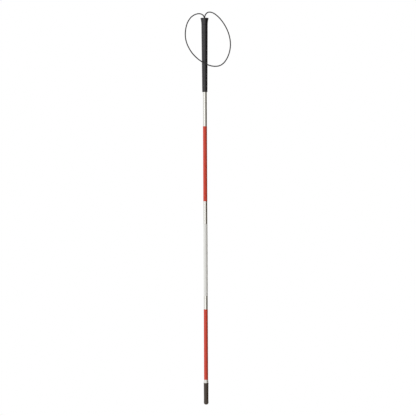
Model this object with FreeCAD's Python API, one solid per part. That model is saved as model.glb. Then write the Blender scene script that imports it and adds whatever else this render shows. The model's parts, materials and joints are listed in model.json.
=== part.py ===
"""Folding white cane: aluminium tube sections on an elastic cord, a grip with a wrist loop, and a push-on tip.

The cane stands upright along +Z. The origin is the middle of the tip's foot. Every size is in millimetres.
"""

import FreeCAD, Part
import math
import os

V = FreeCAD.Vector

# Tubes
TUBE_DIAMETER = 12.7  # half-inch tube
TUBE_WALL = 1.0
TUBE_END_CHAMFER = 0.3

# Lengths along the cane, from the foot up
TIP_LENGTH = 68.0
COLLAR_LENGTH = 10.0
LOWER_TAPE_LENGTH = 223.0
MIDDLE_BARE_LENGTH = 41.0  # bare tube above the lower joint
MIDDLE_TAPE_LENGTH = 228.0
UPPER_BARE_LENGTH = 71.0  # bare tube above the middle joint
UPPER_TAPE_LENGTH = 237.5
HANDLE_BARE_LENGTH = 107.5  # bare tube between the upper joint and the grip
GRIP_LENGTH = 234.0  # sleeve and cap together

# Reflective tape
TAPE_THICKNESS = 0.15
TAPE_SETBACK = 0.6  # the tape stops this far short of the tube's end and of the collar

# Grip
CAP_LENGTH = 20.0
CAP_WEB = 4.0  # rubber over the end of the handle tube
CAP_STEP = 0.25  # radial, the cap's lower edge stands proud of the sleeve
CAP_FLARE = 3.15  # radial, from the cap's lower edge to its top
CAP_FLARE_BOW = 0.75  # how far the flare bows in from a straight cone
CAP_EDGE_FILLET = 1.3
CAP_HOLE_CLEARANCE = 0.35  # beside the loop's two strands
CAP_MOUTH_FLARE = 1.6  # the hole's mouth is wider than its neck by this radius
GRIP_WALL_TOP = 3.65
GRIP_WALL_BOTTOM = 1.9
GRIP_EDGE_FILLET = 0.5
GRIP_END_FILLET = 1.2
GRIP_END_LAND = 0.4  # flat rubber left at the sleeve's lower end, inside its rounded edge

# Joints between sections
INSERT_WALL = 1.25
INSERT_PRESSED_LENGTH = 40.0  # held in the tube above
INSERT_SLIDING_LENGTH = 45.0  # slides in the tube below
INSERT_RUNNING_CLEARANCE = 0.05  # radial
INSERT_NOSE_TAPER = 0.7  # radial
INSERT_NOSE_LENGTH = 5.0
BUSH_LENGTH = 7.0
BUSH_FLANGE = 1.2
BUSH_FLANGE_OVERLAP = 0.5  # radial, over the insert's nose
BUSH_FLANGE_FILLET = 0.45

# Elastic cord and wrist loop
CORD_DIAMETER = 3.5
CORD_CLEARANCE = 0.35  # radial, in the bushes and plugs
STRAND_GAP = 0.3  # between the loop's two strands where they leave the cap, one in front of the other
ELASTIC_LAP = 20.0  # above an insert, where one section's elastic meets the next
LOOP_TRIM_DIAMETERS = 2  # of the loop's cord, cleared below the handle tube's end so that it is cut level

# Plugs and knots that hold the elastic
PLUG_LENGTH = 14.0
TOP_PLUG_DEPTH = 16.0  # below the end of the handle tube
KNOT_CLEARANCE = 0.75  # radial, to the tube's bore
KNOT_LENGTH = 7.6
KNOT_SEAT = 0.5  # radial, a knot's flat end over the hole that it closes
ANCHOR_DEPTH = 17.0  # from the lower tube's end up to the anchor plug

# Collar and tip
COLLAR_WALL_TOP = 0.45
COLLAR_WALL_BOTTOM = 0.9
COLLAR_FILLET = 0.3
TIP_SOCKET_DEPTH = 45.0
TIP_FIT_CLEARANCE = 0.05  # radial, tip on tube
TIP_WALL_TOP = 1.4
TIP_TAPER = 0.6  # the tip narrows by this radius down to its waist
TIP_WAIST_HEIGHT = 15.0
TIP_END_SWELL = 0.2  # radial, where the domed end starts
TIP_BEAD_LENGTH = 3.0
TIP_BEAD_HEIGHT = 0.3  # radial
TIP_DOME_HEIGHT = 8.0
TIP_DOME_MIDDLE = 45.0  # degrees round the dome from its foot, where the middle point of its arc lies
TIP_FOOT_RADIUS = 3.0  # small flat that the cane stands on
TIP_EDGE_FILLET = 0.15
DISC_THICKNESS = 1.5
DISC_CLEARANCE = 0.15  # radial, in the tip's socket

# Places along the cane
TUBE_RADIUS = TUBE_DIAMETER / 2
BORE_RADIUS = TUBE_RADIUS - TUBE_WALL
CORD_RADIUS = CORD_DIAMETER / 2
CORD_BORE = CORD_RADIUS + CORD_CLEARANCE
STRAND_OFFSET = CORD_RADIUS + STRAND_GAP / 2
COLLAR_TOP = TIP_LENGTH + COLLAR_LENGTH
JOINT_3 = COLLAR_TOP + LOWER_TAPE_LENGTH
JOINT_2 = JOINT_3 + MIDDLE_BARE_LENGTH + MIDDLE_TAPE_LENGTH
JOINT_1 = JOINT_2 + UPPER_BARE_LENGTH + UPPER_TAPE_LENGTH
GRIP_BOTTOM = JOINT_1 + HANDLE_BARE_LENGTH
CAP_TOP = GRIP_BOTTOM + GRIP_LENGTH
CAP_BOTTOM = CAP_TOP - CAP_LENGTH
TUBE_TOP = CAP_TOP - CAP_WEB
TUBE_FOOT = TIP_LENGTH - TIP_SOCKET_DEPTH
PLUG_TOP = TUBE_TOP - TOP_PLUG_DEPTH
ANCHOR_BOTTOM = TUBE_FOOT + ANCHOR_DEPTH
KNOT_RADIUS = BORE_RADIUS - KNOT_CLEARANCE
GRIP_TOP_RADIUS = TUBE_RADIUS + GRIP_WALL_TOP
GRIP_BOTTOM_RADIUS = TUBE_RADIUS + GRIP_WALL_BOTTOM
CAP_WAIST_RADIUS = GRIP_TOP_RADIUS + CAP_STEP
CAP_TOP_RADIUS = CAP_WAIST_RADIUS + CAP_FLARE
SMALL = 1e-4

# The wrist loop's route: across, from front to back (the front is -Y), and up from the top of the cap.
# It goes out to the left, down, across the front of the grip and back up on the right.
LOOP_ROUTE = [
    (0.3, -STRAND_OFFSET, -5.8),
    (-0.2, -STRAND_OFFSET, 0.8),
    (-4.2, -2.0, 9.0),
    (-12.4, -2.2, 13.5),
    (-23.0, -2.6, 13.3),
    (-34.2, -3.3, 9.0),
    (-43.6, -4.2, 1.4),
    (-51.4, -5.4, -9.6),
    (-57.2, -6.8, -23.4),
    (-60.4, -8.4, -40.6),
    (-61.0, -10.0, -59.0),
    (-57.6, -11.6, -77.4),
    (-50.2, -13.0, -94.8),
    (-40.4, -14.2, -110.8),
    (-27.6, -15.2, -125.0),
    (-13.2, -16.0, -136.6),
    (2.4, -16.4, -145.8),
    (18.8, -16.2, -152.4),
    (34.8, -15.6, -154.2),
    (49.4, -14.6, -151.6),
    (62.6, -13.2, -141.4),
    (72.8, -11.6, -124.8),
    (79.4, -9.8, -105.6),
    (82.0, -8.0, -84.8),
    (79.8, -6.2, -63.4),
    (73.6, -4.6, -42.2),
    (63.6, -3.2, -22.2),
    (50.4, -2.0, -3.2),
    (33.6, -0.8, 12.4),
    (22.4, 0.2, 18.1),
    (12.6, 1.2, 18.9),
    (5.2, 1.8, 14.4),
    (1.2, STRAND_OFFSET, 7.2),
    (-0.1, STRAND_OFFSET, -0.4),
    (0.3, STRAND_OFFSET, -5.8),
]
ARC_SHARE = 0.45  # of the shorter run, from a corner to where its arc starts


def turned(edges):
    """A solid of revolution about Z from the edges of a closed outline in the XZ plane."""
    face = Part.Face(Part.Wire(edges))
    return face.revolve(V(0, 0, 0), V(0, 0, 1), 360)


def straight_edges(points):
    """Straight edges from each (radius, height) point to the next."""
    corners = [V(r, 0, z) for r, z in points]
    return [Part.makeLine(a, b) for a, b in zip(corners, corners[1:])]


def outline(points):
    """Straight edges all the way round a list of (radius, height) points."""
    return straight_edges(points + points[:1])


def arc_edge(start, middle, end):
    """An arc through three (radius, height) points."""
    return Part.Arc(*[V(r, 0, z) for r, z in (start, middle, end)]).toShape()


def ring(outer, inner, bottom, top):
    """A plain round sleeve."""
    return turned(outline([(inner, bottom), (outer, bottom), (outer, top), (inner, top)]))


def rod(radius, bottom, top):
    """A plain round bar."""
    return Part.makeCylinder(radius, top - bottom, V(0, 0, bottom))


def rims(shape, radius, height):
    """The round edges of a turned shape that have this radius at this height."""
    found = []
    for edge in shape.Edges:
        curve = edge.Curve
        if isinstance(curve, Part.Circle) and abs(curve.Radius - radius) < SMALL:
            if abs(curve.Center.z - height) < SMALL:
                found.append(edge)
    return found


def rounded(shape, fillet, radius, height):
    """The shape with one of its rims rounded."""
    return shape.makeFillet(fillet, rims(shape, radius, height))


def section_tube(bottom, top):
    """A tube section with lightly chamfered ends."""
    c = TUBE_END_CHAMFER
    return turned(
        outline(
            [
                (BORE_RADIUS + c, bottom),
                (TUBE_RADIUS - c, bottom),
                (TUBE_RADIUS, bottom + c),
                (TUBE_RADIUS, top - c),
                (TUBE_RADIUS - c, top),
                (BORE_RADIUS + c, top),
                (BORE_RADIUS, top - c),
                (BORE_RADIUS, bottom + c),
            ]
        )
    )


def tape(top, length):
    """A layer of tape round a tube, from just under the tube's upper end."""
    outer = TUBE_RADIUS + TAPE_THICKNESS
    return ring(outer, TUBE_RADIUS, top - length + TAPE_SETBACK, top - TAPE_SETBACK)


def grip_cap():
    """The flared end of the grip. The handle tube ends under its web, and the loop leaves through its hole."""
    neck = STRAND_OFFSET + CORD_RADIUS + CAP_HOLE_CLEARANCE
    middle_radius = (CAP_TOP_RADIUS + CAP_WAIST_RADIUS) / 2 - CAP_FLARE_BOW
    top = (CAP_TOP_RADIUS, CAP_TOP)
    waist = (CAP_WAIST_RADIUS, CAP_BOTTOM)
    sides = [
        top,
        (neck + CAP_MOUTH_FLARE, CAP_TOP),
        (neck, TUBE_TOP),
        (TUBE_RADIUS, TUBE_TOP),
        (TUBE_RADIUS, CAP_BOTTOM),
        waist,
    ]
    flare = arc_edge(waist, (middle_radius, (CAP_TOP + CAP_BOTTOM) / 2), top)
    cap = rounded(turned(straight_edges(sides) + [flare]), CAP_EDGE_FILLET, CAP_TOP_RADIUS, CAP_TOP)
    return rounded(cap, GRIP_EDGE_FILLET, CAP_WAIST_RADIUS, CAP_BOTTOM)


def grip_sleeve():
    """The tapered rubber sleeve over the handle tube."""
    sleeve = turned(
        outline(
            [
                (TUBE_RADIUS, GRIP_BOTTOM),
                (GRIP_BOTTOM_RADIUS, GRIP_BOTTOM),
                (GRIP_TOP_RADIUS, CAP_BOTTOM),
                (TUBE_RADIUS, CAP_BOTTOM),
            ]
        )
    )
    end_fillet = min(GRIP_END_FILLET, GRIP_WALL_BOTTOM - GRIP_END_LAND)
    sleeve = rounded(sleeve, GRIP_EDGE_FILLET, GRIP_TOP_RADIUS, CAP_BOTTOM)
    return rounded(sleeve, end_fillet, GRIP_BOTTOM_RADIUS, GRIP_BOTTOM)


def joint_insert(joint):
    """A joint's inner sleeve: pressed into the tube above, its tapered nose sliding in the tube below."""
    bore = BORE_RADIUS - INSERT_WALL
    sliding = BORE_RADIUS - INSERT_RUNNING_CLEARANCE
    nose = joint - INSERT_SLIDING_LENGTH
    return turned(
        outline(
            [
                (bore, nose),
                (sliding - INSERT_NOSE_TAPER, nose),
                (sliding, nose + INSERT_NOSE_LENGTH),
                (sliding, joint),
                (BORE_RADIUS, joint + TUBE_END_CHAMFER),
                (BORE_RADIUS, joint + INSERT_PRESSED_LENGTH),
                (bore, joint + INSERT_PRESSED_LENGTH),
            ]
        )
    )


def joint_bush(joint):
    """The flanged bush in an insert's nose, which keeps the elastic off the metal edge."""
    outer = BORE_RADIUS - INSERT_WALL
    nose = joint - INSERT_SLIDING_LENGTH
    flange = outer + BUSH_FLANGE_OVERLAP
    bush = turned(
        outline(
            [
                (CORD_BORE, nose - BUSH_FLANGE),
                (flange, nose - BUSH_FLANGE),
                (flange, nose),
                (outer, nose),
                (outer, nose + BUSH_LENGTH),
                (CORD_BORE, nose + BUSH_LENGTH),
            ]
        )
    )
    return rounded(bush, BUSH_FLANGE_FILLET, flange, nose - BUSH_FLANGE)


def knot(bottom):
    """The outer shape of a pulled-tight knot."""
    fillet = KNOT_RADIUS - CORD_BORE - KNOT_SEAT
    body = rod(KNOT_RADIUS, bottom, bottom + KNOT_LENGTH)
    body = rounded(body, fillet, KNOT_RADIUS, bottom)
    return rounded(body, fillet, KNOT_RADIUS, bottom + KNOT_LENGTH)


def tip_collar():
    """The thin metal collar between the tape and the tip."""
    top_radius = TUBE_RADIUS + COLLAR_WALL_TOP
    bottom_radius = TUBE_RADIUS + COLLAR_WALL_BOTTOM
    collar = turned(
        outline(
            [
                (TUBE_RADIUS, TIP_LENGTH),
                (bottom_radius, TIP_LENGTH),
                (top_radius, COLLAR_TOP),
                (TUBE_RADIUS, COLLAR_TOP),
            ]
        )
    )
    return rounded(collar, COLLAR_FILLET, top_radius, COLLAR_TOP)


def cane_tip():
    """The push-on tip: a beaded mouth, a tapered body, a slightly fuller domed end with a small flat foot."""
    socket = TUBE_RADIUS + TIP_FIT_CLEARANCE
    socket_floor = TUBE_FOOT - DISC_THICKNESS
    mouth = socket + TIP_WALL_TOP
    bead_foot = TIP_LENGTH - TIP_BEAD_LENGTH
    waist = mouth - TIP_TAPER
    full = waist + TIP_END_SWELL
    foot = (TIP_FOOT_RADIUS, 0)
    dome_start = (full, TIP_DOME_HEIGHT)
    dome_lean = math.radians(TIP_DOME_MIDDLE)
    dome_middle = (
        TIP_FOOT_RADIUS + (full - TIP_FOOT_RADIUS) * math.sin(dome_lean),
        TIP_DOME_HEIGHT * (1 - math.cos(dome_lean)),
    )
    sides = [
        dome_start,
        (waist, TIP_WAIST_HEIGHT),
        (mouth - TIP_BEAD_HEIGHT, bead_foot),
        (mouth, bead_foot + TIP_BEAD_HEIGHT),
        (mouth, TIP_LENGTH),
        (socket, TIP_LENGTH),
        (socket, socket_floor),
        (0, socket_floor),
        (0, 0),
        foot,
    ]
    dome = arc_edge(foot, dome_middle, dome_start)
    return rounded(turned(straight_edges(sides) + [dome]), TIP_EDGE_FILLET, mouth, TIP_LENGTH)


def cord_path(points):
    """Straight runs joined by tangent arcs, with the arcs' radii."""
    edges = []
    radii = []
    start = points[0]
    for before, corner, after in zip(points, points[1:], points[2:]):
        back = (before - corner).normalize()
        on = (after - corner).normalize()
        cut = ARC_SHARE * min((before - corner).Length, (after - corner).Length)
        half_turn = (math.pi - back.getAngle(on)) / 2
        radius = cut / math.tan(half_turn)
        inward = (back + on).normalize()
        centre = corner + inward * (radius / math.cos(half_turn))
        arc_start = corner + back * cut
        arc_end = corner + on * cut
        edges.append(Part.LineSegment(start, arc_start).toShape())
        edges.append(Part.Arc(arc_start, centre - inward * radius, arc_end).toShape())
        radii.append(radius)
        start = arc_end
    edges.append(Part.LineSegment(start, points[-1]).toShape())
    return Part.Wire(edges), radii


def wrist_loop():
    """The loop's cord, from the knot under the cap round and back, cut level where it stands on the knot."""
    points = [V(x, y, CAP_TOP + up) for x, y, up in LOOP_ROUTE]
    path, radii = cord_path(points)
    first = (points[1] - points[0]).normalize()
    section = Part.Wire(Part.makeCircle(CORD_RADIUS, points[0], first))
    cord = path.makePipeShell([section], True, False)
    expected = math.pi * CORD_RADIUS**2 * path.Length
    print("wrist loop length %.1f mm" % path.Length)
    print("wrist loop volume / (section x length) = %.4f" % (cord.Volume / expected))
    print("wrist loop radii:", " ".join("%.1f" % r for r in radii))
    below = LOOP_TRIM_DIAMETERS * CORD_DIAMETER
    return cord.cut(rod(BORE_RADIUS, TUBE_TOP - below, TUBE_TOP))


def write(pieces):
    """One STEP file for each piece, named after it."""
    os.makedirs("parts", exist_ok=True)
    for name, shape in pieces.items():
        solids = shape.Solids
        assert len(solids) == 1 and solids[0].isValid(), name
        solids[0].exportStep("parts/" + name + ".step")


def cane():
    """Every piece of the cane by name."""
    joints = [JOINT_1, JOINT_2, JOINT_3]
    pieces = {
        "grip_cap": grip_cap(),
        "grip_sleeve": grip_sleeve(),
        "handle_tube": section_tube(JOINT_1, TUBE_TOP),
        "upper_tube": section_tube(JOINT_2, JOINT_1),
        "middle_tube": section_tube(JOINT_3, JOINT_2),
        "lower_tube": section_tube(TUBE_FOOT, JOINT_3),
        "red_tape_upper": tape(JOINT_1, UPPER_TAPE_LENGTH),
        "white_tape": tape(JOINT_2, MIDDLE_TAPE_LENGTH),
        "red_tape_lower": tape(JOINT_3, LOWER_TAPE_LENGTH),
        "wrist_loop": wrist_loop(),
        "loop_knot": knot(TUBE_TOP - KNOT_LENGTH),
        "top_plug": ring(BORE_RADIUS, CORD_BORE, PLUG_TOP - PLUG_LENGTH, PLUG_TOP),
        "top_knot": knot(PLUG_TOP),
        "anchor_plug": ring(BORE_RADIUS, CORD_BORE, ANCHOR_BOTTOM, ANCHOR_BOTTOM + PLUG_LENGTH),
        "anchor_knot": knot(ANCHOR_BOTTOM - KNOT_LENGTH),
        "tip_collar": tip_collar(),
        "tip": cane_tip(),
        "tip_disc": rod(TUBE_RADIUS - DISC_CLEARANCE, TUBE_FOOT - DISC_THICKNESS, TUBE_FOOT),
    }
    for number, joint in enumerate(joints, start=1):
        pieces["joint_%d_insert" % number] = joint_insert(joint)
        pieces["joint_%d_bush" % number] = joint_bush(joint)
    meets = [joint + INSERT_PRESSED_LENGTH + ELASTIC_LAP for joint in joints]
    levels = [PLUG_TOP] + meets + [ANCHOR_BOTTOM]
    for number, (top, bottom) in enumerate(zip(levels, levels[1:]), start=1):
        pieces["elastic_%d" % number] = rod(CORD_RADIUS, bottom, top)
    return pieces


write(cane())
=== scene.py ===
"""Folding white cane: the looks of its pieces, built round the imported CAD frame.

Each operator makes one group of pieces, from the frame's boxes and the sizes and colours in the panel.
Lengths are in metres. Z is up, the cane's axis is the Z axis and its front faces -Y.
"""

import json
import math

import bmesh
import bpy
from bpy.props import FloatProperty, FloatVectorProperty, IntProperty, PointerProperty
from mathutils import Matrix, Vector


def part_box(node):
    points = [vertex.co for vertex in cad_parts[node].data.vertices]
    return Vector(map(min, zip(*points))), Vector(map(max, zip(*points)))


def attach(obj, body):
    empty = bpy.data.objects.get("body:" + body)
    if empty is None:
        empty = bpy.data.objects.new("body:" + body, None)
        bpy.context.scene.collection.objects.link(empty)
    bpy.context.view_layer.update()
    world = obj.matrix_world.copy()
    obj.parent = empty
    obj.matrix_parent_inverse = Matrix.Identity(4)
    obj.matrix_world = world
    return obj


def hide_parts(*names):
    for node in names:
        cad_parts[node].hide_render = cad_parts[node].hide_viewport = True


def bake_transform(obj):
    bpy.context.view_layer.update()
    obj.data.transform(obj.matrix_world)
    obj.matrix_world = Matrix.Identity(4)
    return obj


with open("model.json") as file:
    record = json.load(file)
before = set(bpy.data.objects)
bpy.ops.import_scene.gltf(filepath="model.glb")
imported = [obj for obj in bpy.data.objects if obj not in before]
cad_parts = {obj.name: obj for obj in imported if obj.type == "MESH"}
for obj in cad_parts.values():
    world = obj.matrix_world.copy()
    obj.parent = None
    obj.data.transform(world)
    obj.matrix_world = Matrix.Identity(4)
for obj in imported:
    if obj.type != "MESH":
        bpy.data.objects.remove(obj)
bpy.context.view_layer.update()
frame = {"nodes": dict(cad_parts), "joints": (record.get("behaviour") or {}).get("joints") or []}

bl_info = {
    "name": "Folding White Cane",
    "version": (1, 0, 0),
    "blender": (4, 5, 0),
    "location": "View3D > Sidebar > Cane",
    "description": "Builds the visible pieces of a folding white cane round its CAD frame",
    "category": "Add Mesh",
}

MM = 0.001
FACTOR, FIRST, SECOND = 0, 6, 7  # the inputs of a Mix node that mixes colours
FRAME_MATERIALS = {slot.material.name for node in frame["nodes"].values() for slot in node.material_slots}

CORD_DIAMETER = 3.5 * MM
STRAND_OFFSET = 1.9 * MM  # half the distance between the loop's two ends, side by side in the cap's hole
TIED_SHARE = 0.68  # of the cord's thickness that is left where a knot pulls it thin
KNOT_SWING = 2  # the wide swing of the knot's figure over its narrow one
CLIMB_SHARE = 0.35  # of the tape's lap, over which the tape climbs onto its own edge
SHARP_ON_TAPE = math.radians(40)
SHARP_ON_GRIP = math.radians(60)

# The loop's cord, as its control points from the knot, out of the cap, round and back.
# Z is measured up from the cap's top.
LOOP_ROUTE = [
    (0.0003, -STRAND_OFFSET, -0.0058),
    (-0.0002, -STRAND_OFFSET, 0.0008),
    (-0.0042, -0.0020, 0.0090),
    (-0.0124, -0.0022, 0.0135),
    (-0.0230, -0.0026, 0.0133),
    (-0.0342, -0.0033, 0.0090),
    (-0.0436, -0.0042, 0.0014),
    (-0.0514, -0.0054, -0.0096),
    (-0.0572, -0.0068, -0.0234),
    (-0.0604, -0.0084, -0.0406),
    (-0.0610, -0.0100, -0.0590),
    (-0.0576, -0.0116, -0.0774),
    (-0.0502, -0.0130, -0.0948),
    (-0.0404, -0.0142, -0.1108),
    (-0.0276, -0.0152, -0.1250),
    (-0.0132, -0.0160, -0.1366),
    (0.0024, -0.0164, -0.1458),
    (0.0188, -0.0162, -0.1524),
    (0.0348, -0.0156, -0.1542),
    (0.0494, -0.0146, -0.1516),
    (0.0626, -0.0132, -0.1414),
    (0.0728, -0.0116, -0.1248),
    (0.0794, -0.0098, -0.1056),
    (0.0820, -0.0080, -0.0848),
    (0.0798, -0.0062, -0.0634),
    (0.0736, -0.0046, -0.0422),
    (0.0636, -0.0032, -0.0222),
    (0.0504, -0.0020, -0.0032),
    (0.0336, -0.0008, 0.0124),
    (0.0224, 0.0002, 0.0181),
    (0.0126, 0.0012, 0.0189),
    (0.0052, 0.0018, 0.0144),
    (0.0012, STRAND_OFFSET, 0.0072),
    (-0.0001, STRAND_OFFSET, -0.0004),
    (0.0003, STRAND_OFFSET, -0.0058),
]

DARK_FROM, DARK_TO = math.radians(22), math.radians(40)  # where the light falls off, round to the right
BACK_FROM, BACK_TO = math.radians(128), math.radians(150)  # where it comes back, behind
FLOOR_CLEARANCE = 10 * MM  # under the lowest reach of the sections
FLOOR_REACH = 1.5  # from the cane's axis to the floor's edges
KEY_SIZE = (0.7, 1.8)  # across and up
KEY_PLACE = (-1.1, -2.4, 0.7)  # in front and to the left

TAPES = {
    "red_tape_upper": ("upper_section", "red_reflective_tape"),
    "white_tape": ("middle_section", "white_reflective_tape"),
    "red_tape_lower": ("lower_section", "red_reflective_tape"),
}
TUBES = ["handle_tube", "upper_tube", "middle_tube", "lower_tube"]
# The elastic's runs: the node, the body that holds its top, and the body that it rides on.
ELASTICS = [
    ("elastic_1", None, "handle"),
    ("elastic_2", "handle", "upper_elastic"),
    ("elastic_3", "upper_section", "middle_elastic"),
    ("elastic_4", "middle_section", "lower_elastic"),
]
KNOTS = {"top_knot": "handle", "anchor_knot": "lower_section", "loop_knot": "handle"}


def linear(hex_colour):
    """An sRGB hex colour as linear red, green and blue."""
    parts = [int(hex_colour[i : i + 2], 16) / 255 for i in (1, 3, 5)]
    return tuple(p / 12.92 if p <= 0.04045 else ((p + 0.055) / 1.055) ** 2.4 for p in parts)


def length(name, about, default, low=0.0):
    """A length property in metres."""
    return FloatProperty(name=name, description=about, default=default, min=low, unit="LENGTH", precision=5)


def amount(name, about, default):
    """A plain number property, never below nought."""
    return FloatProperty(name=name, description=about, default=default, min=0.0)


def colour(name, about, hex_colour):
    """A colour property, given as sRGB hex."""
    return FloatVectorProperty(
        name=name, description=about, default=linear(hex_colour), subtype="COLOR", size=3, min=0.0, max=1.0
    )


class CaneSizes(bpy.types.PropertyGroup):
    """Sizes of the detail on the pieces."""

    braid_pitch: length("Braid pitch", "Length of one turn of a braid strand", 8.0 * MM, 0.5 * MM)
    braid_relief: length("Braid relief", "Height of a braid strand above the gaps", 0.3 * MM)
    braid_strands: IntProperty(name="Braid strands", description="Strands wound each way", default=6, min=2)
    pip_length: length("Pip length", "Length of one raised pip of the grip", 2.4 * MM)
    pip_width: length("Pip width", "Width of one raised pip of the grip", 1.0 * MM)
    pip_height: length("Pip height", "How far a pip stands above the grip", 0.22 * MM)
    pip_rows: IntProperty(name="Pip rows", description="Rows of pips along the grip", default=56, min=1)
    pip_columns: IntProperty(name="Pip columns", description="Pips in one row", default=18, min=3)
    pip_margin: length("Pip margin", "Plain band at each end of the grip", 9.0 * MM)
    grip_taper: FloatProperty(
        name="Grip taper",
        description="The sleeve's lower radius over its upper",
        default=0.825,
        subtype="FACTOR",
    )
    parting_line: length("Parting line", "Height of the mould's parting line on the grip", 0.14 * MM)
    tape_thickness: length("Tape thickness", "Thickness of the reflective tape", 0.15 * MM)
    tape_overlap: length("Tape overlap", "How far the tape laps over its own edge", 5.0 * MM)
    tape_cell: length("Tape cell", "Width of one cell of the tape's lattice", 3.2 * MM, 0.1 * MM)


class CaneColours(bpy.types.PropertyGroup):
    """Base colours of the finishes."""

    grip_rubber: colour("Grip rubber", "Moulded rubber of the grip and its cap", "#15141b")
    tip_rubber: colour("Tip", "Moulded material of the tip", "#41352b")
    cord: colour("Cord", "Braided cover of the cords", "#2a292b")
    red_tape: colour("Red tape", "Red reflective tape", "#d5330b")
    white_tape: colour("White tape", "White reflective tape", "#eeeeec")
    aluminium: colour("Aluminium", "Drawn aluminium of the tubes", "#e4e3df")
    insert: colour("Inserts", "Rubbed aluminium of the inner sleeves", "#d4d3cf")
    collar: colour("Collar", "Turned aluminium of the collar", "#f3f2ee")
    nylon: colour("Nylon", "Natural nylon of the bushes and plugs", "#ddd8c8")
    zinc: colour("Zinc", "Zinc plating of the tip's disc", "#b9bec2")


class CaneStage(bpy.types.PropertyGroup):
    """The camera's place and the light."""

    distance: length("Camera distance", "From the camera to the cane", 7.0)
    across: length("View width", "Width of the view at the cane", 1.313)
    height: length("Camera height", "Height of the level camera", 0.6202)
    aside: length("Camera aside", "How far the camera stands to the right of the cane", 8.4 * MM, -1.0)
    roll: FloatProperty(
        name="Camera roll",
        description="Turn of the camera about its view",
        default=math.radians(0.25),
        subtype="ANGLE",
    )
    bright: amount("Bright side", "Light from the left and front", 0.9)
    dark: amount("Dark side", "Light from the right and back right", 0.1)
    key_watts: amount("Key light", "Power of the key softbox in watts", 4.8)
    paper_glow: amount("Paper glow", "Light from under the floor's paper", 0.7)


def add(tree, kind, inputs=None, to=None, **settings):
    """Adds a node with its settings and links. An input takes a value, a socket, or a node for that node's
    first live output. The new node's first live output is linked on to the socket `to`."""
    made = tree.nodes.new(kind)
    for key, value in settings.items():
        setattr(made, key, value)
    for key, value in (inputs or {}).items():
        if isinstance(value, bpy.types.Node):
            value = next(socket for socket in value.outputs if socket.enabled)
        if isinstance(value, bpy.types.NodeSocket):
            tree.links.new(value, made.inputs[key])
        else:
            made.inputs[key].default_value = value
    if to:
        tree.links.new(next(socket for socket in made.outputs if socket.enabled), to)
    return made


def paint(base, share=1.0):
    """A colour as a node's socket takes it, made darker or lighter by a share."""
    return (*(min(1.0, part * share) for part in base), 1.0)


def new_material(name, base, metallic=0.0, roughness=0.5):
    """A new material, with its tree, its Principled shader's sockets and its Object coordinates."""
    material = bpy.data.materials.new(name)
    material.use_nodes = True
    tree = material.node_tree
    shader = tree.nodes["Principled BSDF"].inputs
    shader["Base Color"].default_value = paint(base)
    shader["Metallic"].default_value = metallic
    shader["Roughness"].default_value = roughness
    return material, tree, shader, add(tree, "ShaderNodeTexCoord").outputs["Object"]


def moulded_rubber(name, base):
    """Rubber from a spark-eroded mould: an even satin black, a little shinier where a hand has polished it.
    The mould's grain is about 0.1 mm and is drawn at 0.7 mm so that it shows."""
    material, tree, shader, place = new_material(name, base)
    shader["Specular IOR Level"].default_value = 0.65
    grain = add(tree, "ShaderNodeTexNoise", {"Vector": place, "Scale": 1 / (0.7 * MM), "Detail": 3.0})
    handled = add(tree, "ShaderNodeTexNoise", {"Vector": place, "Scale": 1 / (28 * MM), "Detail": 2.0})
    shades = {FACTOR: handled, FIRST: paint(base, 0.86), SECOND: paint(base, 1.16)}
    add(tree, "ShaderNodeMix", shades, shader["Base Color"], data_type="RGBA")
    polish = {"Value": handled, "From Min": 0.3, "From Max": 0.7, "To Min": 0.28, "To Max": 0.17}
    add(tree, "ShaderNodeMapRange", polish, shader["Roughness"])
    add(tree, "ShaderNodeBump", {"Height": grain, "Distance": 0.05 * MM}, shader["Normal"])
    return material


def scuffed_tip_rubber(name, base):
    """Moulded tip, worn grey and rough by the ground over its lowest 14 mm, satin brown-black above.
    Real scuffs are about 0.1 mm wide and are drawn at 0.6 mm so that they show."""
    material, tree, shader, place = new_material(name, base)
    height = add(tree, "ShaderNodeSeparateXYZ", {0: place}).outputs["Z"]
    near_ground = {"Value": height, "From Min": 1 * MM, "From Max": 14 * MM, "To Min": 1.0, "To Max": 0.0}
    near_ground = add(tree, "ShaderNodeMapRange", near_ground)
    marks = add(tree, "ShaderNodeTexNoise", {"Vector": place, "Scale": 1 / (0.6 * MM), "Detail": 4.0})
    marks = add(tree, "ShaderNodeMapRange", {"Value": marks, "From Min": 0.48, "From Max": 0.66})
    wear = add(tree, "ShaderNodeMath", {0: near_ground, 1: marks}, operation="MULTIPLY")
    shades = {FACTOR: wear, FIRST: paint(base), SECOND: paint(linear("#6a6057"))}
    add(tree, "ShaderNodeMix", shades, shader["Base Color"], data_type="RGBA")
    add(tree, "ShaderNodeMapRange", {"Value": wear, "To Min": 0.42, "To Max": 0.7}, shader["Roughness"])
    grain = add(tree, "ShaderNodeTexNoise", {"Vector": place, "Scale": 1 / (0.8 * MM), "Detail": 3.0})
    add(tree, "ShaderNodeBump", {"Height": grain, "Distance": 0.04 * MM}, shader["Normal"])
    return material


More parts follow.
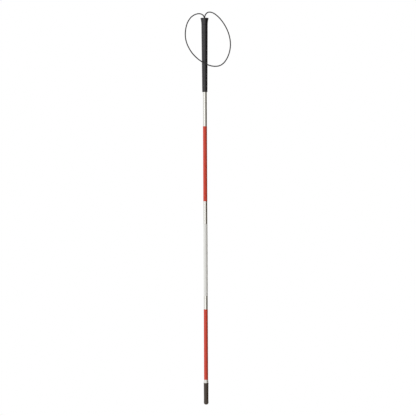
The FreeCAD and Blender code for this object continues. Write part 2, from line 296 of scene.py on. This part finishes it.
def drawn_aluminium(name, base, roughness, line):
    """Aluminium drawn through a die, then bright-anodised: fine lengthwise lines and cloudy handling marks.
    Die lines are about 0.05 mm wide and are drawn at the given width so that they show."""
    material, tree, shader, place = new_material(name, base, metallic=1.0)
    stretch = (1 / line, 1 / line, 1 / (90 * MM))
    drawn_out = add(tree, "ShaderNodeMapping", {"Vector": place, "Scale": stretch})
    lines = add(tree, "ShaderNodeTexNoise", {"Vector": drawn_out, "Scale": 1.0, "Detail": 2.0})
    cloud = add(tree, "ShaderNodeTexNoise", {"Vector": place, "Scale": 1 / (22 * MM), "Detail": 2.0})
    marks = add(tree, "ShaderNodeMath", {0: lines, 1: cloud}, operation="ADD")
    least, most = roughness - 0.05, roughness + 0.08
    dulled = {"Value": marks, "From Min": 0.7, "From Max": 1.3, "To Min": least, "To Max": most}
    add(tree, "ShaderNodeMapRange", dulled, shader["Roughness"])
    shades = {FACTOR: lines, FIRST: paint(base, 0.94), SECOND: paint(base, 1.04)}
    add(tree, "ShaderNodeMix", shades, shader["Base Color"], data_type="RGBA")
    add(tree, "ShaderNodeBump", {"Height": lines, "Distance": 0.01 * MM}, shader["Normal"])
    return material


def turned_aluminium(name, base):
    """Aluminium turned on a lathe, then bead-blasted: pale and satin, with soft rings from the tool's feed.
    The feed is about 0.1 mm a turn and the rings are drawn 0.4 mm apart so that they show."""
    material, tree, shader, place = new_material(name, base, metallic=1.0)
    feed = (1 / (60 * MM), 1 / (60 * MM), 1 / (0.4 * MM))
    fed = add(tree, "ShaderNodeMapping", {"Vector": place, "Scale": feed})
    rings = add(tree, "ShaderNodeTexNoise", {"Vector": fed, "Scale": 1.0, "Detail": 1.0})
    satin = {"Value": rings, "From Min": 0.3, "From Max": 0.7, "To Min": 0.56, "To Max": 0.7}
    add(tree, "ShaderNodeMapRange", satin, shader["Roughness"])
    shades = {FACTOR: rings, FIRST: paint(base, 0.95), SECOND: paint(base)}
    add(tree, "ShaderNodeMix", shades, shader["Base Color"], data_type="RGBA")
    add(tree, "ShaderNodeBump", {"Height": rings, "Distance": 0.015 * MM}, shader["Normal"])
    return material


def reflective_tape(name, base, cell):
    """Encapsulated-bead sheeting: glossy film over a beaded layer, sealed in a lattice of paler lines.
    The lines are about 0.3 mm wide. The beads are 0.05 mm and are drawn at 0.4 mm so that they show."""
    material, tree, shader, place = new_material(name, base)
    shader["Specular IOR Level"].default_value = 0.46
    shader["Coat Weight"].default_value = 0.08
    shader["Coat Roughness"].default_value = 0.16
    strip = add(tree, "ShaderNodeSeparateXYZ", {0: add(tree, "ShaderNodeUVMap", uv_map="wrap")}).outputs
    to_lines = []
    for slant in ("ADD", "SUBTRACT"):
        slanted = add(tree, "ShaderNodeMath", {0: strip["X"], 1: strip["Y"]}, operation=slant)
        to_lines.append(add(tree, "ShaderNodeMath", {0: slanted, 1: cell / 2}, operation="PINGPONG"))
    nearest = add(tree, "ShaderNodeMath", {0: to_lines[0], 1: to_lines[1]}, operation="MINIMUM")
    seal = {"Value": nearest, "From Min": 0.1 * MM, "From Max": 0.28 * MM, "To Min": 1.0, "To Max": 0.0}
    lattice = add(tree, "ShaderNodeMapRange", seal)
    beads = add(tree, "ShaderNodeTexNoise", {"Vector": place, "Scale": 1 / (0.4 * MM), "Detail": 1.0})
    shades = {FACTOR: beads, FIRST: paint(base, 0.93), SECOND: paint(base, 1.07)}
    ground = add(tree, "ShaderNodeMix", shades, data_type="RGBA")
    pale = tuple(0.95 * part + 0.05 for part in base)
    shades = {FACTOR: lattice, FIRST: ground, SECOND: paint(pale)}
    add(tree, "ShaderNodeMix", shades, shader["Base Color"], data_type="RGBA")
    gloss = {"Value": beads, "From Min": 0.3, "From Max": 0.7, "To Min": 0.26, "To Max": 0.34}
    add(tree, "ShaderNodeMapRange", gloss, shader["Roughness"])
    add(tree, "ShaderNodeBump", {"Height": lattice, "Distance": 0.02 * MM}, shader["Normal"])
    return material


def braided_cover(name, base):
    """Braided polyester yarn over a rubber core: matt, with painted shade in the gaps between strands, a
    painted highlight on the strands' crowns, and a soft fuzz.
    The yarn's filaments are about 0.02 mm and are drawn at 0.3 mm so that they show."""
    material, tree, shader, place = new_material(name, base, roughness=0.78)
    shader["Sheen Weight"].default_value = 0.25
    shader["Sheen Roughness"].default_value = 0.5
    strand_shade_and_highlight = add(tree, "ShaderNodeAttribute", attribute_name="strand_height").outputs["Fac"]
    # Painted shade and highlight: each strand's height darkens the gaps between strands and lightens the
    # strands' crowns.
    shades = {FACTOR: strand_shade_and_highlight, FIRST: paint(base, 0.3), SECOND: paint(base, 1.35)}
    add(tree, "ShaderNodeMix", shades, shader["Base Color"], data_type="RGBA")
    fuzz = add(tree, "ShaderNodeTexNoise", {"Vector": place, "Scale": 1 / (0.3 * MM), "Detail": 2.0})
    add(tree, "ShaderNodeBump", {"Height": fuzz, "Distance": 0.04 * MM}, shader["Normal"])
    return material


def moulded_nylon(name, base):
    """Natural nylon, injection moulded: milky and slightly translucent, with a low satin gloss.
    Its cloudiness changes over about 3 mm, and light spreads about 1 mm into it."""
    material, tree, shader, place = new_material(name, base)
    shader["Subsurface Weight"].default_value = 0.15
    shader["Subsurface Scale"].default_value = 1.0 * MM
    cloud = add(tree, "ShaderNodeTexNoise", {"Vector": place, "Scale": 1 / (3 * MM), "Detail": 2.0})
    shades = {FACTOR: cloud, FIRST: paint(base, 0.93), SECOND: paint(base, 1.04)}
    add(tree, "ShaderNodeMix", shades, shader["Base Color"], data_type="RGBA")
    gloss = {"Value": cloud, "From Min": 0.3, "From Max": 0.7, "To Min": 0.34, "To Max": 0.46}
    add(tree, "ShaderNodeMapRange", gloss, shader["Roughness"])
    return material


def bright_zinc(name, base):
    """Bright zinc plating on pressed steel: cool grey, in patches of differing gloss 1.2 mm across."""
    material, tree, shader, place = new_material(name, base, metallic=1.0)
    patches = add(tree, "ShaderNodeTexNoise", {"Vector": place, "Scale": 1 / (1.2 * MM), "Detail": 2.0})
    shades = {FACTOR: patches, FIRST: paint(base, 0.85), SECOND: paint(base, 1.1)}
    add(tree, "ShaderNodeMix", shades, shader["Base Color"], data_type="RGBA")
    gloss = {"Value": patches, "From Min": 0.3, "From Max": 0.7, "To Min": 0.26, "To Max": 0.46}
    add(tree, "ShaderNodeMapRange", gloss, shader["Roughness"])
    return material


def finish(slot):
    """The material for a record slot, made the first time it is asked for."""
    name, make = FINISHES[slot]
    if name in FRAME_MATERIALS:
        raise RuntimeError(name + " is also a plain material of the frame, so it needs another name")
    scene = bpy.context.scene
    return bpy.data.materials.get(name) or make(name, scene.cane_colours, scene.cane_sizes)


FINISHES = {
    "grip_rubber": ("moulded_grip_rubber", lambda name, c, s: moulded_rubber(name, c.grip_rubber)),
    "tip_rubber": ("moulded_tip_rubber", lambda name, c, s: scuffed_tip_rubber(name, c.tip_rubber)),
    "tube_aluminium": (
        "drawn_tube_aluminium",
        lambda name, c, s: drawn_aluminium(name, c.aluminium, 0.19, 0.5 * MM),
    ),
    "insert_aluminium": (
        "rubbed_insert_aluminium",
        lambda name, c, s: drawn_aluminium(name, c.insert, 0.34, 0.8 * MM),
    ),
    "collar_aluminium": ("turned_collar_aluminium", lambda name, c, s: turned_aluminium(name, c.collar)),
    "red_reflective_tape": (
        "red_bead_sheeting",
        lambda name, c, s: reflective_tape(name, c.red_tape, s.tape_cell),
    ),
    "white_reflective_tape": (
        "white_bead_sheeting",
        lambda name, c, s: reflective_tape(name, c.white_tape, s.tape_cell),
    ),
    "braided_elastic": ("braided_elastic_cover", lambda name, c, s: braided_cover(name, c.cord)),
    "nylon": ("moulded_natural_nylon", lambda name, c, s: moulded_nylon(name, c.nylon)),
    "zinc_plated_steel": ("bright_zinc_plating", lambda name, c, s: bright_zinc(name, c.zinc)),
}


def dress(node, slot):
    """Gives a CAD node the finish of its slot."""
    for place in frame["nodes"][node].material_slots:
        place.material = finish(slot)


def smooth(mesh):
    """Shades every face of a mesh smooth."""
    for face in mesh.polygons:
        face.use_smooth = True


def piece(name, mesh):
    """A new object at the origin with that mesh, shaded smooth."""
    made = bpy.data.objects.new(name, mesh)
    bpy.context.scene.collection.objects.link(made)
    smooth(mesh)
    return made


def stands_for(node):
    """Hides the CAD node that the piece stands for."""
    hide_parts(node)


def line_mesh(name, points, closed=False):
    """A mesh of only vertices and the edges that join them in order."""
    mesh = bpy.data.meshes.new(name)
    edges = [(i, i + 1) for i in range(len(points) - 1)]
    if closed:
        edges.append((len(points) - 1, 0))
    mesh.from_pydata([tuple(p) for p in points], edges, [])
    return mesh


def new_tree(name, sizes):
    """A Geometry Nodes tree that takes geometry, those named sizes and a material, and gives geometry."""
    tree = bpy.data.node_groups.new(name, "GeometryNodeTree")
    for label, kind in {"Geometry": "Geometry", **sizes, "Material": "Material"}.items():
        tree.interface.new_socket(name=label, in_out="INPUT", socket_type="NodeSocket" + kind)
    tree.interface.new_socket(name="Geometry", in_out="OUTPUT", socket_type="NodeSocketGeometry")
    return tree


def baked(made, tree, values):
    """The object with its mesh made plain by the tree, whose inputs are set by socket identifier."""
    modifier = made.modifiers.new(tree.name, "NODES")
    modifier.node_group = tree
    for item in tree.interface.items_tree:
        if item.item_type == "SOCKET" and item.in_out == "INPUT" and item.name in values:
            modifier[item.identifier] = values[item.name]
    bpy.context.view_layer.update()
    evaluated = made.evaluated_get(bpy.context.evaluated_depsgraph_get())
    mesh = bpy.data.meshes.new_from_object(evaluated)
    made.modifiers.remove(modifier)
    old = made.data
    made.data = mesh
    mesh.name = made.name
    for place in reversed(range(len(mesh.materials))):
        if mesh.materials[place] is None:
            mesh.materials.pop(index=place)
    smooth(mesh)
    bpy.data.meshes.remove(old)
    if not mesh.polygons:
        raise RuntimeError(made.name + " came out of its node tree with no faces")
    return made


# The braid's sums, in order: a name, the operation, then its terms.
# A term is a number, an input or an earlier sum.
BRAID_SUMS = [
    ("half_relief", "MULTIPLY", "Relief", 0.5),
    ("bare_radius", "SUBTRACT", "Radius", "half_relief"),
    ("turn", "DIVIDE", "index", "Sides"),
    ("wound", "MULTIPLY", "around", "Strands"),
    ("pitches", "DIVIDE", "along", "Pitch"),
    ("climbed", "MULTIPLY", "pitches", "Strands"),
    ("right_count", "ADD", "wound", "climbed"),
    ("left_count", "SUBTRACT", "wound", "climbed"),
    ("right_cell", "FLOOR", "right_count"),
    ("left_cell", "FLOOR", "left_count"),
    ("right_part", "FRACT", "right_count"),
    ("left_part", "FRACT", "left_count"),
    ("right_sweep", "MULTIPLY", "right_part", math.pi),
    ("left_sweep", "MULTIPLY", "left_part", math.pi),
    ("right_arch", "SINE", "right_sweep"),
    ("left_arch", "SINE", "left_sweep"),
    ("right_dip", "MULTIPLY_ADD", "left_arch", 0.45, 0.55),
    ("left_dip", "MULTIPLY_ADD", "right_arch", 0.45, 0.55),
    ("right_height", "MULTIPLY", "right_arch", "right_dip"),
    ("left_height", "MULTIPLY", "left_arch", "left_dip"),
    ("cells", "ADD", "right_cell", "left_cell"),
    ("left_on_top", "FLOORED_MODULO", "cells", 2.0),
    ("step", "SUBTRACT", "left_height", "right_height"),
    ("height", "MULTIPLY_ADD", "left_on_top", "step", "right_height"),
    ("lift", "MULTIPLY", "height", "Relief"),
]


def braid_tree():
    """Geometry Nodes: a braided tube along the incoming line.
    Strands wound both ways cross over and under. The top strand's height is kept as strand_height."""
    found = bpy.data.node_groups.get("braided_cord")
    if found:
        return found
    sizes = {"Radius": "Float", "Strands": "Int", "Pitch": "Float", "Relief": "Float"}
    tree = new_tree("braided_cord", {**sizes, "Ring Spacing": "Float", "Sides": "Int"})
    given = add(tree, "NodeGroupInput").outputs
    terms = {socket.name: socket for socket in given}
    terms["index"] = add(tree, "GeometryNodeInputIndex")
    for name in ("along", "around"):
        terms[name] = add(tree, "GeometryNodeInputNamedAttribute", {"Name": name}, data_type="FLOAT")
    for name, operation, *parts in BRAID_SUMS:
        inputs = {place: terms.get(part, part) for place, part in enumerate(parts)}
        terms[name] = add(tree, "ShaderNodeMath", inputs, operation=operation)

    store = "GeometryNodeStoreNamedAttribute"
    line = add(tree, "GeometryNodeMeshToCurve", {"Mesh": given["Geometry"]})
    spaced = {"Curve": line, "Length": given["Ring Spacing"]}
    line = add(tree, "GeometryNodeResampleCurve", spaced, mode="LENGTH")
    run = add(tree, "GeometryNodeSplineParameter").outputs["Length"]
    line = add(tree, store, {"Geometry": line, "Name": "along", "Value": run})
    ring = {"Resolution": given["Sides"], "Radius": terms["bare_radius"]}
    ring = add(tree, "GeometryNodeCurvePrimitiveCircle", ring)
    ring = add(tree, store, {"Geometry": ring, "Name": "around", "Value": terms["turn"]})
    tube = add(tree, "GeometryNodeCurveToMesh", {"Curve": line, "Profile Curve": ring, "Fill Caps": True})
    tube = add(tree, store, {"Geometry": tube, "Name": "strand_height", "Value": terms["height"]})
    outward = add(tree, "GeometryNodeInputNormal")
    lift = add(tree, "ShaderNodeVectorMath", {0: outward, "Scale": terms["lift"]}, operation="SCALE")
    tube = add(tree, "GeometryNodeSetPosition", {"Geometry": tube, "Offset": lift})
    tube = add(tree, "GeometryNodeRealizeInstances", {"Geometry": tube})
    tube = add(tree, "GeometryNodeSetMaterial", {"Geometry": tube, "Material": given["Material"]})
    add(tree, "NodeGroupOutput", {"Geometry": tube})
    return tree


def braided(name, points, diameter, spacing, sides, closed=False):
    """A braided cord along the points, as a plain mesh."""
    sizes = bpy.context.scene.cane_sizes
    made = piece(name, line_mesh(name, points, closed))
    values = {
        "Radius": diameter / 2,
        "Strands": sizes.braid_strands,
        "Pitch": sizes.braid_pitch,
        "Relief": sizes.braid_relief,
        "Ring Spacing": spacing,
        "Sides": sides,
        "Material": finish("braided_elastic"),
    }
    return baked(made, braid_tree(), values)


def tied_knot(node):
    """An overhand knot pulled tight, as the closed figure of its three crossings.
    In front its strands stand half the braid's relief past the CAD knot's box, and elsewhere inside it."""
    low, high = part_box(node)
    yarn = CORD_DIAMETER * TIED_SHARE
    reach = ((high.x - low.x) / 2 - yarn / 2) / (1 + KNOT_SWING)
    rise = (high.z - low.z) / 2 - yarn / 2 - bpy.context.scene.cane_sizes.braid_relief
    middle = (low.z + high.z) / 2
    points = []
    steps = 90
    for i in range(steps):
        t = 2 * math.pi * i / steps
        x = reach * (math.sin(t) + KNOT_SWING * math.sin(2 * t))
        y = reach * (math.cos(t) - KNOT_SWING * math.cos(2 * t))
        points.append((x, y, middle - rise * math.sin(3 * t)))
    made = braided(node + "_tied", points, yarn, spacing=0.3 * MM, sides=20, closed=True)
    stands_for(node)
    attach(made, KNOTS[node])
    return made


def wrapped_tape(node):
    """A strip of tape wound once round its tube, lapped over its start at the back, its edges rounded."""
    sizes = bpy.context.scene.cane_sizes
    low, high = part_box(node)
    thick = sizes.tape_thickness
    tube = (high.x - low.x) / 2 - thick
    lap = sizes.tape_overlap / tube
    start, end = math.pi / 2, math.pi / 2 + 2 * math.pi + lap
    climb = lap * CLIMB_SHARE
    turns = 120
    edge = 0.05 * MM
    levels = [low.z, low.z + edge, high.z - edge, high.z]
    inward = [edge, 0.0, 0.0, edge]

    def base(angle):
        over = angle - (start + 2 * math.pi - climb)
        share = min(1.0, max(0.0, over / climb))
        return tube + thick * share * share * (3 - 2 * share)

    angles = [start + (end - start) * i / turns for i in range(turns + 1)]
    mesh = bmesh.new()
    wrap = mesh.loops.layers.uv.new("wrap")
    rows = []
    for level, trim in zip(levels, inward):
        outer = [(base(a) + thick - trim, a, level) for a in angles]
        inner = [(base(a), a, level) for a in reversed(angles)]
        ring = [(mesh.verts.new((r * math.cos(a), r * math.sin(a), z)), a) for r, a, z in outer + inner]
        rows.append(ring)
    count = len(rows[0])
    faces = []
    for lower, upper in zip(rows, rows[1:]):
        for i in range(count):
            j = (i + 1) % count
            faces.append([lower[i], lower[j], upper[j], upper[i]])
    half = count // 2
    for row, flip in ((rows[0], True), (rows[-1], False)):
        for i in range(half - 1):
            corner = [row[i], row[i + 1], row[count - 2 - i], row[count - 1 - i]]
            faces.append(corner[::-1] if flip else corner)
    for corners in faces:
        made = mesh.faces.new([v for v, _ in corners])
        for loop, (vertex, angle) in zip(made.loops, corners):
            loop[wrap].uv = (tube * angle, vertex.co.z)
    bmesh.ops.recalc_face_normals(mesh, faces=mesh.faces)
    data = bpy.data.meshes.new(node + "_wrap")
    mesh.to_mesh(data)
    mesh.free()
    made = piece(node + "_wrap", data)
    data.set_sharp_from_angle(angle=SHARP_ON_TAPE)
    body, slot = TAPES[node]
    data.materials.append(finish(slot))
    stands_for(node)
    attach(made, body)


def grip_mesh(name, low, high, bore, end_radius, parting):
    """The sleeve as a closed turned shell, with rounded ends and a parting line down each side."""
    top_radius = high.x
    round_end, round_top = 1.2 * MM, 0.5 * MM
    end_steps, rows, top_steps = 6, 60, 4
    profile = [(bore, low.z)]
    for i in range(end_steps + 1):
        a = math.pi / 2 * i / end_steps
        profile.append((end_radius - round_end * (1 - math.sin(a)), low.z + round_end * (1 - math.cos(a))))
    for i in range(1, rows):
        share = i / rows
        z = low.z + round_end + (high.z - low.z - round_end - round_top) * share
        profile.append((end_radius + (top_radius - end_radius) * share, z))
    for i in range(top_steps + 1):
        a = math.pi / 2 * i / top_steps
        profile.append((top_radius - round_top * (1 - math.cos(a)), high.z - round_top * (1 - math.sin(a))))
    profile.append((bore, high.z))
    around = 96
    outside = range(1, len(profile) - 1)
    verts, faces = [], []
    for i, (radius, z) in enumerate(profile):
        for j in range(around):
            angle = 2 * math.pi * j / around
            seam = parting if i in outside and j % (around // 2) == 0 else 0.0
            verts.append(((radius + seam) * math.cos(angle), (radius + seam) * math.sin(angle), z))
    for i in range(len(profile)):
        k = (i + 1) % len(profile)
        for j in range(around):
            n = (j + 1) % around
            faces.append((i * around + j, i * around + n, k * around + n, k * around + j))
    mesh = bpy.data.meshes.new(name)
    mesh.from_pydata(verts, [], faces)
    return mesh


# The pips' sums, written as the braid's are. Every second row is set half a pip round.
PIP_SUMS = [
    ("middle", "ADD", "index", 0.5),
    ("rows_before", "DIVIDE", "middle", "Columns"),
    ("row", "FLOOR", "rows_before"),
    ("pips_before", "MULTIPLY", "row", "Columns"),
    ("column", "SUBTRACT", "index", "pips_before"),
    ("odd", "FLOORED_MODULO", "row", 2.0),
    ("stagger", "MULTIPLY_ADD", "odd", 0.5, 0.25),
    ("round", "ADD", "column", "stagger"),
    ("turn", "DIVIDE", "round", "Columns"),
    ("angle", "MULTIPLY", "turn", 2 * math.pi),
    ("last_row", "SUBTRACT", "Rows", 1.0),
    ("share", "DIVIDE", "row", "last_row"),
    ("widening", "SUBTRACT", "Last Radius", "First Radius"),
    ("radius", "MULTIPLY_ADD", "share", "widening", "First Radius"),
    ("rise", "SUBTRACT", "Last Height", "First Height"),
    ("height", "MULTIPLY_ADD", "share", "rise", "First Height"),
    ("cosine", "COSINE", "angle"),
    ("sine", "SINE", "angle"),
    ("x", "MULTIPLY", "radius", "cosine"),
    ("y", "MULTIPLY", "radius", "sine"),
    ("pips", "MULTIPLY", "Rows", "Columns"),
]


def pip_tree():
    """Geometry Nodes: staggered rows of low oval pips round the incoming tapered sleeve, joined to it."""
    ends = dict.fromkeys(("First Height", "Last Height", "First Radius", "Last Radius"), "Float")
    tree = new_tree("moulded_pips", {"Rows": "Int", "Columns": "Int", **ends, "Pip Size": "Vector"})
    given = add(tree, "NodeGroupInput").outputs
    terms = {socket.name: socket for socket in given}
    terms["index"] = add(tree, "GeometryNodeInputIndex")
    for name, operation, *parts in PIP_SUMS:
        inputs = {place: terms.get(part, part) for place, part in enumerate(parts)}
        terms[name] = add(tree, "ShaderNodeMath", inputs, operation=operation)

    place = add(tree, "ShaderNodeCombineXYZ", {"X": terms["x"], "Y": terms["y"], "Z": terms["height"]})
    facing = add(tree, "ShaderNodeCombineXYZ", {"Z": terms["angle"]})
    points = add(tree, "GeometryNodePoints", {"Count": terms["pips"], "Position": place})
    pip = add(tree, "GeometryNodeMeshUVSphere", {"Segments": 8, "Rings": 5, "Radius": 0.5})
    spread_pips = {"Points": points, "Instance": pip, "Rotation": facing, "Scale": given["Pip Size"]}
    pips = add(tree, "GeometryNodeInstanceOnPoints", spread_pips)
    both = add(tree, "GeometryNodeJoinGeometry", {"Geometry": given["Geometry"]})
    tree.links.new(pips.outputs[0], both.inputs[0])
    solid = add(tree, "GeometryNodeRealizeInstances", {"Geometry": both})
    solid = add(tree, "GeometryNodeSetMaterial", {"Geometry": solid, "Material": given["Material"]})
    add(tree, "NodeGroupOutput", {"Geometry": solid})
    return tree


class CANE_OT_stage(bpy.types.Operator):
    """Makes the camera, the pale floor and the soft studio light"""

    bl_idname = "cane.stage"
    bl_label = "Stage"

    def execute(self, context):
        scene, setup = context.scene, context.scene.cane_stage
        data = bpy.data.cameras.new("front_camera")
        data.sensor_width = 36.0
        data.lens = data.sensor_width * setup.distance / setup.across
        camera = bpy.data.objects.new("front_camera", data)
        camera.location = (setup.aside, -setup.distance, setup.height)
        camera.rotation_euler = (math.pi / 2, setup.roll, 0.0)
        scene.collection.objects.link(camera)
        scene.camera = camera

        scene.view_settings.view_transform = "Standard"
        world = bpy.data.worlds.new("studio")
        world.use_nodes = True
        tree = world.node_tree
        tree.nodes.clear()
        way = add(tree, "ShaderNodeTexCoord").outputs["Generated"]
        way = add(tree, "ShaderNodeSeparateXYZ", {0: way}).outputs
        towards = add(tree, "ShaderNodeMath", {0: way["Y"], 1: -1.0}, operation="MULTIPLY")
        turn = add(tree, "ShaderNodeMath", {0: way["X"], 1: towards}, operation="ARCTAN2")
        falling = {"Value": turn, "From Min": DARK_FROM, "From Max": DARK_TO}
        falling = add(tree, "ShaderNodeMapRange", falling)
        back = {"Value": turn, "From Min": BACK_FROM, "From Max": BACK_TO, "To Min": 1.0, "To Max": 0.0}
        returning = add(tree, "ShaderNodeMapRange", back)
        dim = add(tree, "ShaderNodeMath", {0: falling, 1: returning}, operation="MULTIPLY")
        level = {"Value": dim, "To Min": setup.bright, "To Max": setup.dark}
        level = add(tree, "ShaderNodeMapRange", level)
        hues = {FACTOR: dim, FIRST: paint(linear("#fffffd")), SECOND: paint(linear("#fff0d7"))}
        hue = add(tree, "ShaderNodeMix", hues, data_type="RGBA")
        lit = add(tree, "ShaderNodeBackground", {"Color": hue, "Strength": level})
        white = add(tree, "ShaderNodeBackground", {"Color": paint(linear("#ffffff")), "Strength": 1.0})
        seen = add(tree, "ShaderNodeLightPath").outputs["Is Camera Ray"]
        both = add(tree, "ShaderNodeMixShader", {0: seen, 1: lit, 2: white})
        add(tree, "ShaderNodeOutputWorld", {"Surface": both})
        scene.world = world

        lamp = bpy.data.lights.new("key_softbox", "AREA")
        lamp.shape = "RECTANGLE"
        lamp.size, lamp.size_y = KEY_SIZE
        lamp.energy = setup.key_watts
        key = bpy.data.objects.new("key_softbox", lamp)
        key.location = KEY_PLACE
        aim = Vector((0.0, 0.0, KEY_PLACE[2])) - key.location
        key.rotation_euler = aim.to_track_quat("-Z", "Y").to_euler()
        key.visible_camera = False
        scene.collection.objects.link(key)

        floor = bmesh.new()
        bmesh.ops.create_grid(floor, x_segments=1, y_segments=1, size=FLOOR_REACH)
        mesh = bpy.data.meshes.new("studio_floor")
        floor.to_mesh(mesh)
        floor.free()
        # The cane is held by its grip, so the floor lies below its sections when all of them are pulled.
        travel = sum(joint["range_m"][1] for joint in frame["joints"] if joint["type"] == "slide")
        mesh.transform(Matrix.Translation((0.0, 0.0, -travel - FLOOR_CLEARANCE)))
        ground = bpy.data.objects.new("studio_floor", mesh)
        scene.collection.objects.link(ground)
        base = linear("#d4d4d3")
        paper, tree, shader, place = new_material("white_studio_paper", base, roughness=0.9)
        fibre = add(tree, "ShaderNodeTexNoise", {"Vector": place, "Scale": 1 / (4 * MM), "Detail": 2.0})
        shades = {FACTOR: fibre, FIRST: paint(base), SECOND: paint(linear("#d8d8d7"))}
        add(tree, "ShaderNodeMix", shades, shader["Base Color"], data_type="RGBA")
        shader["Emission Color"].default_value = paint(linear("#ffffff"))
        shader["Emission Strength"].default_value = setup.paper_glow
        mesh.materials.append(paper)
        ground.visible_diffuse = False
        ground.visible_glossy = False
        return {"FINISHED"}


class CANE_OT_wrist_loop(bpy.types.Operator):
    """Makes the wrist loop's braided cord and the knot that holds it under the cap"""

    bl_idname = "cane.wrist_loop"
    bl_label = "Wrist Loop"

    def execute(self, context):
        cap_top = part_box("grip_cap")[1].z
        route = bpy.data.curves.new("loop_route", "CURVE")
        route.dimensions = "3D"
        spline = route.splines.new("NURBS")
        spline.points.add(len(LOOP_ROUTE) - 1)
        for point, (x, y, up) in zip(spline.points, LOOP_ROUTE):
            point.co = (x, y, cap_top + up, 1.0)
        spline.order_u = 3
        spline.use_endpoint_u = True
        spline.resolution_u = 12
        guide = bpy.data.objects.new("loop_route", route)
        context.scene.collection.objects.link(guide)
        line = bpy.data.meshes.new_from_object(guide)
        points = [v.co.copy() for v in line.vertices]
        bpy.data.objects.remove(guide)
        bpy.data.meshes.remove(line)
        knot = tied_knot("loop_knot")
        made = braided("wrist_loop_cord", points, CORD_DIAMETER, spacing=0.35 * MM, sides=30)
        stands_for("wrist_loop")
        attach(made, "handle")
        return {"FINISHED"}


class CANE_OT_grip(bpy.types.Operator):
    """Makes the moulded grip with its pips and parting lines, and finishes the cap"""

    bl_idname = "cane.grip"
    bl_label = "Grip"

    def execute(self, context):
        sizes = context.scene.cane_sizes
        low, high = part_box("grip_sleeve")
        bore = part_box("handle_tube")[1].x
        end_radius = high.x * sizes.grip_taper
        mesh = grip_mesh("grip_sleeve", low, high, bore, end_radius, sizes.parting_line)
        mesh.materials.append(finish("grip_rubber"))
        made = piece("grip_sleeve_moulding", mesh)
        margin = sizes.pip_margin / (high.z - low.z)
        span = high.x - end_radius
        values = {
            "Rows": sizes.pip_rows,
            "Columns": sizes.pip_columns,
            "First Height": low.z + sizes.pip_margin,
            "Last Height": high.z - sizes.pip_margin,
            "First Radius": end_radius + span * margin,
            "Last Radius": high.x - span * margin,
            "Pip Size": (2 * sizes.pip_height, sizes.pip_width, sizes.pip_length),
            "Material": finish("grip_rubber"),
        }
        baked(made, pip_tree(), values)
        made.data.set_sharp_from_angle(angle=SHARP_ON_GRIP)
        stands_for("grip_sleeve")
        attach(made, "handle")
        dress("grip_cap", "grip_rubber")
        return {"FINISHED"}


class CANE_OT_sections(bpy.types.Operator):
    """Finishes the four tube sections in drawn aluminium"""

    bl_idname = "cane.sections"
    bl_label = "Tube Sections"

    def execute(self, context):
        for node in TUBES:
            dress(node, "tube_aluminium")
        return {"FINISHED"}


class CANE_OT_tapes(bpy.types.Operator):
    """Winds the red and white reflective tapes round their sections"""

    bl_idname = "cane.tapes"
    bl_label = "Reflective Tapes"

    def execute(self, context):
        for node in TAPES:
            wrapped_tape(node)
        return {"FINISHED"}


class CANE_OT_joints(bpy.types.Operator):
    """Finishes the inner sleeves and the bushes of the three joints"""

    bl_idname = "cane.joints"
    bl_label = "Joints"

    def execute(self, context):
        for number in (1, 2, 3):
            dress("joint_%d_insert" % number, "insert_aluminium")
            dress("joint_%d_bush" % number, "nylon")
        return {"FINISHED"}


class CANE_OT_elastic(bpy.types.Operator):
    """Makes the elastic's four runs and its two end knots, and finishes the plugs that they pull against"""

    bl_idname = "cane.elastic"
    bl_label = "Elastic"

    def execute(self, context):
        sizes = context.scene.cane_sizes
        for node, above, body in ELASTICS:
            low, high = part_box(node)
            # The braid's relief rounds the ends over, so they are set in by it.
            bottom = low.z + sizes.braid_relief
            top = high.z - sizes.braid_relief
            steps = 40
            points = [(0.0, 0.0, bottom + (top - bottom) * i / steps) for i in range(steps + 1)]
            made = braided(node + "_braid", points, CORD_DIAMETER, spacing=0.6 * MM, sides=20)
            stands_for(node)
            if above:
                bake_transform(made)
            else:
                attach(made, body)
        for node in ("top_knot", "anchor_knot"):
            tied_knot(node)
        for node in ("top_plug", "anchor_plug"):
            dress(node, "nylon")
        return {"FINISHED"}


class CANE_OT_tip(bpy.types.Operator):
    """Finishes the push-on tip, the steel disc inside it and the collar above it"""

    bl_idname = "cane.tip"
    bl_label = "Tip"

    def execute(self, context):
        dress("tip", "tip_rubber")
        dress("tip_disc", "zinc_plated_steel")
        dress("tip_collar", "collar_aluminium")
        return {"FINISHED"}


OPERATORS = [
    CANE_OT_stage,
    CANE_OT_wrist_loop,
    CANE_OT_grip,
    CANE_OT_sections,
    CANE_OT_tapes,
    CANE_OT_joints,
    CANE_OT_elastic,
    CANE_OT_tip,
]


class CANE_PT_panel(bpy.types.Panel):
    """The cane's operators, sizes and colours"""

    bl_idname = "CANE_PT_panel"
    bl_label = "Folding White Cane"
    bl_space_type = "VIEW_3D"
    bl_region_type = "UI"
    bl_category = "Cane"

    def draw(self, context):
        for operator in OPERATORS:
            self.layout.operator(operator.bl_idname)
        for group in (context.scene.cane_sizes, context.scene.cane_colours, context.scene.cane_stage):
            box = self.layout.box()
            for name in group.__annotations__:
                box.prop(group, name)


CLASSES = [CaneSizes, CaneColours, CaneStage, *OPERATORS, CANE_PT_panel]


def register():
    """Registers the classes and puts the sizes, colours and stage on the scene."""
    for made in CLASSES:
        bpy.utils.register_class(made)
    bpy.types.Scene.cane_sizes = PointerProperty(type=CaneSizes)
    bpy.types.Scene.cane_colours = PointerProperty(type=CaneColours)
    bpy.types.Scene.cane_stage = PointerProperty(type=CaneStage)


def unregister():
    """Takes the sizes, colours and stage off the scene and unregisters the classes."""
    del bpy.types.Scene.cane_sizes, bpy.types.Scene.cane_colours, bpy.types.Scene.cane_stage
    for made in reversed(CLASSES):
        bpy.utils.unregister_class(made)


def main():
    """Builds everything in order."""
    register()
    bpy.ops.cane.stage()
    bpy.ops.cane.wrist_loop()
    bpy.ops.cane.grip()
    bpy.ops.cane.sections()
    bpy.ops.cane.tapes()
    bpy.ops.cane.joints()
    bpy.ops.cane.elastic()
    bpy.ops.cane.tip()


if __name__ == "__main__":
    main()
